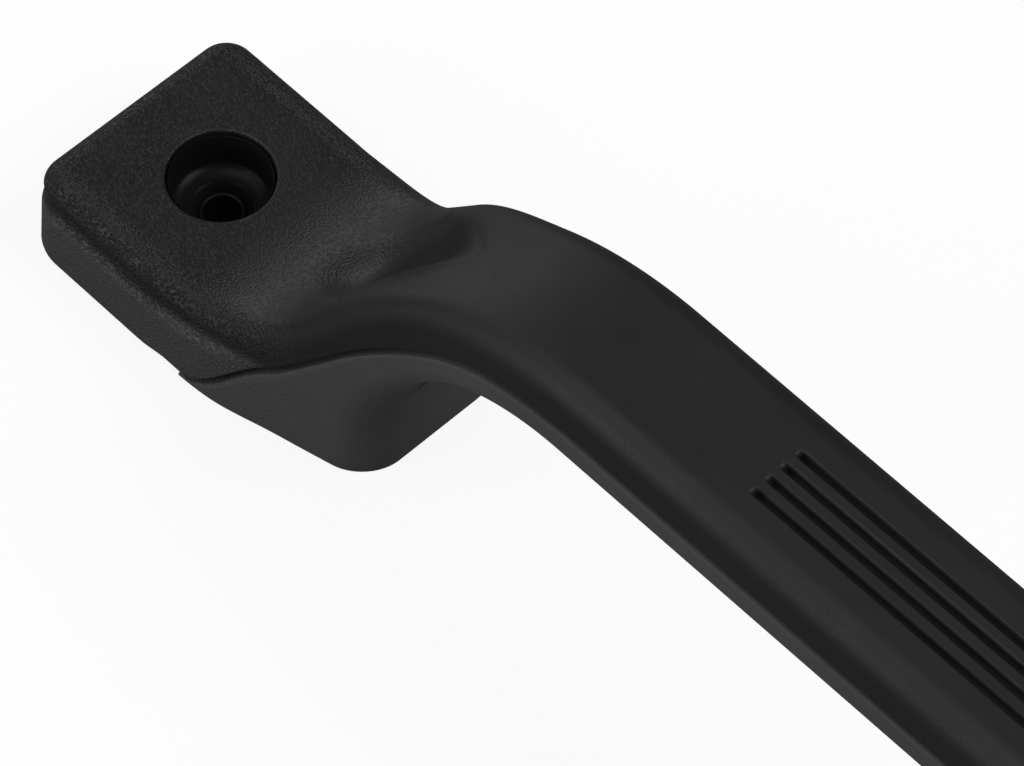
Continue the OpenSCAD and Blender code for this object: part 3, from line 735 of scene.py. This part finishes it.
def makeHandleZones():  # masks for the parts of the handle, from the place on it
    group, groupIn, groupOut = newGroup("handleZones", {}, ["Grain", "Lit Skirt", "Edges", "Hollows"])
    link = group.links.new

    def calc(operation, a, b=None):
        return mathNode(group, operation, a, b)

    inMm = group.nodes.new("ShaderNodeVectorMath")
    inMm.operation = "SCALE"
    inMm.inputs["Scale"].default_value = 1 / mm
    link(groupIn.outputs["Vector"], inMm.inputs[0])
    split = group.nodes.new("ShaderNodeSeparateXYZ")
    link(inMm.outputs["Vector"], split.inputs[0])
    x, y, z = split.outputs
    fromEnd = calc("SUBTRACT", halfLong, calc("ABSOLUTE", x))
    across = calc("ABSOLUTE", y)

    # the scooped hollow, an ellipse seen from above
    long = calc("DIVIDE", calc("SUBTRACT", fromEnd, wear["scoopAt"]), wear["scoopLong"])
    wide = calc("DIVIDE", y, wear["scoopWide"])
    reach = calc("ADD", calc("MULTIPLY", long, long), calc("MULTIPLY", wide, wide))
    upper = calc("GREATER_THAN", z, form["footHigh"])
    scooped = calc("MULTIPLY", remap(group, reach, wear["scoopSoft"], 1.0, 1.0, 0.0), upper)

    # the grain fades out along the neck, but is kept in the hollow
    worn = remap(group, fromEnd, wear["grainFrom"], wear["grainTo"], 1.0, wear["grainLeft"])
    link(calc("MAXIMUM", worn, calc("MULTIPLY", scooped, wear["scoopGrain"])), groupOut.inputs["Grain"])

    # painted light: the skirt below the ledge, near the foot, is made paler
    beyond = calc("MAXIMUM", calc("SUBTRACT", fromEnd, form["creaseFrom"]), 0.0)
    overLedge = calc("SUBTRACT", calc("SUBTRACT", z, form["creaseZ"]),
                     calc("MULTIPLY", beyond, form["creaseClimb"]))
    below = remap(group, overLedge, wear["skirtBelow"], wear["skirtAbove"], 1.0, 0.0)
    near = remap(group, fromEnd, wear["skirtFrom"], wear["skirtTo"], 1.0, 0.0)
    link(calc("MULTIPLY", below, near), groupOut.inputs["Lit Skirt"])

    # the grain is deepest on the rolled edges of the foot
    along = remap(group, across, wear["sideFrom"], wear["sideTo"], 0.0, 1.0)
    end = remap(group, fromEnd, wear["endFrom"], wear["endTo"], 1.0, 0.0)
    link(calc("MAXIMUM", along, end), groupOut.inputs["Edges"])

    # painted shade: the finger grooves and the hollow are made dark, where shade falls in them
    sunk = remap(group, z, gripTop - wear["slotLow"], gripTop - wear["slotHigh"], 1.0, 0.0)
    between = calc("LESS_THAN", across, wear["slotHalf"])
    past = calc("GREATER_THAN", fromEnd, grooveStart - wear["slotBefore"])
    slots = calc("MULTIPLY", sunk, calc("MULTIPLY", between, past))
    link(calc("MAXIMUM", slots, scooped), groupOut.inputs["Hollows"])
    return group


pebbleGrain = makePebbleGrain()
handlingMarks = makeHandlingMarks()
handleZones = makeHandleZones()
print("shader groups made")

plainFinish = {
    # painted shade: the near-black colour on this line darkens the grooves and the hollow; the other is
    # real dust
    "dust": (0.10, 0.10, 0.095, 1), "hollowShade": (0.004, 0.004, 0.004, 1),
    "flatGrain": 1.0, "wornRough": 0.0, "grooveRough": 0.4, "creaseRough": 0.12, "sheenRough": 0.4,
    "cloudsLow": 0.35, "cloudsHigh": 0.65, "grain": 2300.0, "speckScale": 330.0,
}
finishes = {
    "coverBlack": {
        **plainFinish,
        "dark": (0.0105, 0.0108, 0.0110, 1), "light": (0.0190, 0.0197, 0.0198, 1),
        # painted light: the skirt colour is paler below the ledge; the near-black colour after it is
        # painted shade in the grooves and the hollow
        "skirt": (0.0760, 0.0765, 0.0785, 1), "hollowShade": (0.002, 0.002, 0.002, 1),
        # painted shade: the share by which the grain's creases are darkened
        "sheen": 0.01, "creaseShade": 0.4, "flatGrain": 0.22, "wornRough": 0.18,
        "warp": 0.00028, "bump": 0.9, "bumpDeep": 0.00024,
        "roughLow": 0.30, "roughHigh": 0.38, "specular": 0.46, "speck": 0.5,
    },
    "bodyBlack": {
        **plainFinish,
        "dark": (0.0760, 0.0785, 0.0770, 1), "light": (0.1060, 0.1090, 0.1070, 1),
        # painted light: the skirt colour, paler low on the body near the foot
        "skirt": (0.0900, 0.0920, 0.0900, 1),
        # painted shade: the share by which the grain's creases are darkened
        "sheen": 0.06, "creaseShade": 0.3,
        "warp": 0.00035, "bump": 0.8, "bumpDeep": 0.00012,
        "roughLow": 0.42, "roughHigh": 0.52, "specular": 0.50, "speck": 0.3,
    },
    "wellBlack": {
        **plainFinish,
        "dark": (0.006, 0.0062, 0.0064, 1), "light": (0.009, 0.0092, 0.0094, 1),
        "skirt": (0.009, 0.0092, 0.0094, 1), "dust": (0.16, 0.16, 0.15, 1),
        "sheen": 0.0, "creaseShade": 0.0,
        "grain": 5200.0, "warp": 0.0001, "bump": 0.05, "bumpDeep": 0.00003,
        "roughLow": 0.26, "roughHigh": 0.34, "specular": 0.14, "speck": 0.8, "speckScale": 900.0,
    },
}


def placeGroup(tree, group, place, **values):  # a shared effect with this material's values
    node = tree.nodes.new("ShaderNodeGroup")
    node.node_tree = group
    tree.links.new(place, node.inputs["Vector"])
    for label, value in values.items():
        node.inputs[label].default_value = value
    return node.outputs


def layColour(tree, under, over, mask):  # covers one colour with another where the mask is 1
    node = tree.nodes.new("ShaderNodeMix")
    node.data_type = "RGBA"
    node.inputs["B"].default_value = over
    if isinstance(under, tuple):
        node.inputs["A"].default_value = under
    else:
        tree.links.new(under, node.inputs["A"])
    tree.links.new(mask, node.inputs["Factor"])
    return node.outputs["Result"]


def mouldedPlastic(name):
    look = finishes[name]
    material = bpy.data.materials.new(name)
    material.use_nodes = True
    tree = material.node_tree
    link = tree.links.new
    shader = tree.nodes["Principled BSDF"]
    place = tree.nodes.new("ShaderNodeTexCoord").outputs["Object"]
    grain = placeGroup(tree, pebbleGrain, place, Scale=look["grain"], Warp=look["warp"])
    marks = placeGroup(tree, handlingMarks, place, **{"Speck Scale": look["speckScale"]})
    zones = placeGroup(tree, handleZones, place)

    def calc(operation, a, b, clamp=False):
        return mathNode(tree, operation, a, b, clamp)

    # colour: clouds with painted shade in the grain's creases, then dust, painted light on the paler
    # skirt and painted shade in the grooves and the hollow
    creaseShade = calc("MULTIPLY", calc("MULTIPLY", grain["Creases"], zones["Grain"]), look["creaseShade"])
    tone = calc("SUBTRACT", marks["Clouds"], creaseShade, clamp=True)
    colour = layColour(tree, look["dark"], look["light"], tone)
    colour = layColour(tree, colour, look["dust"], calc("MULTIPLY", marks["Specks"], look["speck"]))
    colour = layColour(tree, colour, look["skirt"], zones["Lit Skirt"])
    colour = layColour(tree, colour, look["hollowShade"], zones["Hollows"])
    link(colour, shader.inputs["Base Color"])

    # roughness: duller where the grain is worn off, in the hollows and in the creases
    rough = remap(tree, marks["Clouds"], look["cloudsLow"], look["cloudsHigh"],
                  look["roughLow"], look["roughHigh"])
    worn = calc("SUBTRACT", 1.0, zones["Grain"])
    for mask, gain in ((worn, "wornRough"), (zones["Hollows"], "grooveRough"),
                       (grain["Creases"], "creaseRough")):
        rough = calc("ADD", rough, calc("MULTIPLY", mask, look[gain]))
    link(rough, shader.inputs["Roughness"])
    shader.inputs["Specular IOR Level"].default_value = look["specular"]
    shader.inputs["Sheen Weight"].default_value = look["sheen"]
    shader.inputs["Sheen Roughness"].default_value = look["sheenRough"]

    # grain: shallower on the flats than on the rolled edges
    bump = tree.nodes.new("ShaderNodeBump")
    bump.inputs["Distance"].default_value = look["bumpDeep"]
    edges = remap(tree, zones["Edges"], 0.0, 1.0, look["flatGrain"], 1.0, smooth=False)
    link(calc("MULTIPLY", zones["Grain"], look["bump"]), bump.inputs["Strength"])
    link(calc("MULTIPLY", grain["Height"], edges), bump.inputs["Height"])
    link(bump.outputs["Normal"], shader.inputs["Normal"])
    return material


def giveFinish(piece, name):
    piece.data.materials.clear()
    piece.data.materials.append(mouldedPlastic(name))


coverPiece = buildCover()
giveFinish(coverPiece, "coverBlack")
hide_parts("top_cover")
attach(coverPiece, "root")
print("cover built", len(coverPiece.data.polygons))

bodyPiece = buildBody()
giveFinish(bodyPiece, "bodyBlack")
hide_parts("lower_body")
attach(bodyPiece, "root")
print("body built", len(bodyPiece.data.polygons))

towerPiece = buildTowers()
giveFinish(towerPiece, "wellBlack")
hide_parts("lower_body")
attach(towerPiece, "root")
print("towers built", len(towerPiece.data.polygons))


# Floor, light and camera
stage = {
    "floorSize": 6.0, "floorColour": (0.2, 0.2, 0.2, 1), "floorRough": 0.9, "floorSpecular": 0.1,
    "white": (1, 1, 1, 1), "cameraLift": 0.87, "worldLight": 0.08, "lampsAimAt": (0, 0, 0.02),
}
lamps = {  # size in metres, power in watts, place in metres
    "backLamp": (1.1, 11.0, (0.90, 0.70, 1.20)),
    "topLamp": (0.9, 3.2, (-0.40, -0.30, 1.30)),
    "sideLamp": (0.9, 2.5, (-1.25, 0.35, 0.22)),
    "frontLamp": (1.0, 4.2, (-0.60, -1.00, 0.46)),
    "nearLamp": (0.9, 1.3, (0.40, -1.20, 0.40)),
}


def buildFloor():  # pale paper that the camera sees as nearly white, while it keeps the shadow
    half = stage["floorSize"] / 2
    floor = bpy.data.meshes.new("floor")
    corners = [(-half, -half, 0), (half, -half, 0), (half, half, 0), (-half, half, 0)]
    floor.from_pydata(corners, [], [(0, 1, 2, 3)])
    piece = bpy.data.objects.new("floor", floor)
    bpy.context.scene.collection.objects.link(piece)
    material = bpy.data.materials.new("palePaper")
    material.use_nodes = True
    tree = material.node_tree
    shader = tree.nodes["Principled BSDF"]
    shader.inputs["Base Color"].default_value = stage["floorColour"]
    shader.inputs["Roughness"].default_value = stage["floorRough"]
    shader.inputs["Specular IOR Level"].default_value = stage["floorSpecular"]
    path = tree.nodes.new("ShaderNodeLightPath")
    lift = mathNode(tree, "MULTIPLY", path.outputs["Is Camera Ray"], stage["cameraLift"])
    tree.links.new(lift, shader.inputs["Emission Strength"])
    shader.inputs["Emission Color"].default_value = stage["white"]
    floor.materials.append(material)


def softLamp(name, size, power, place):
    lamp = bpy.data.lights.new(name, "AREA")
    lamp.shape = "SQUARE"
    lamp.size = size
    lamp.energy = power
    piece = bpy.data.objects.new(name, lamp)
    piece.location = place
    aim = Vector(stage["lampsAimAt"]) - Vector(place)
    piece.rotation_euler = aim.to_track_quat("-Z", "Y").to_euler()
    bpy.context.scene.collection.objects.link(piece)


def buildWorld():  # white to the camera, and a weak even light on the handle
    world = bpy.data.worlds.new("paleRoom")
    world.use_nodes = True
    tree = world.node_tree
    background = tree.nodes["Background"]
    background.inputs["Color"].default_value = stage["white"]
    path = tree.nodes.new("ShaderNodeLightPath")
    level = tree.nodes.new("ShaderNodeMapRange")
    level.inputs["To Min"].default_value = stage["worldLight"]
    level.inputs["To Max"].default_value = 1.0
    tree.links.new(path.outputs["Is Camera Ray"], level.inputs["Value"])
    tree.links.new(level.outputs["Result"], background.inputs["Strength"])
    bpy.context.scene.world = world


shot = {  # degrees and metres, and the lens in mm
    "azimuth": 44.294, "elevation": 55.933, "roll": 2.047, "distance": 0.8666,
    "target": (-0.09348, 0.01318, 0.0), "lens": 213.64, "sensor": 36.0, "near": 0.01, "far": 50.0,
}


def buildCamera():
    a, e, r = (math.radians(shot[k]) for k in ("azimuth", "elevation", "roll"))
    back = Vector((math.sin(a) * math.cos(e), -math.cos(a) * math.cos(e), math.sin(e)))
    right = Vector((math.cos(a), math.sin(a), 0))
    up = back.cross(right)
    tiltedRight = right * math.cos(r) + up * math.sin(r)
    tiltedUp = up * math.cos(r) - right * math.sin(r)
    camera = bpy.data.cameras.new("camera")
    camera.lens = shot["lens"]
    camera.sensor_width = shot["sensor"]
    camera.clip_start = shot["near"]
    camera.clip_end = shot["far"]
    piece = bpy.data.objects.new("camera", camera)
    bpy.context.scene.collection.objects.link(piece)
    turn = Matrix((tiltedRight, tiltedUp, back)).transposed().to_4x4()
    piece.matrix_world = Matrix.Translation(Vector(shot["target"]) + back * shot["distance"]) @ turn
    bpy.context.scene.camera = piece


buildFloor()
buildWorld()
for name, (size, power, place) in lamps.items():
    softLamp(name, size, power, place)
buildCamera()
bpy.context.scene.view_settings.view_transform = "Standard"
print("stage, lamps and camera placed")
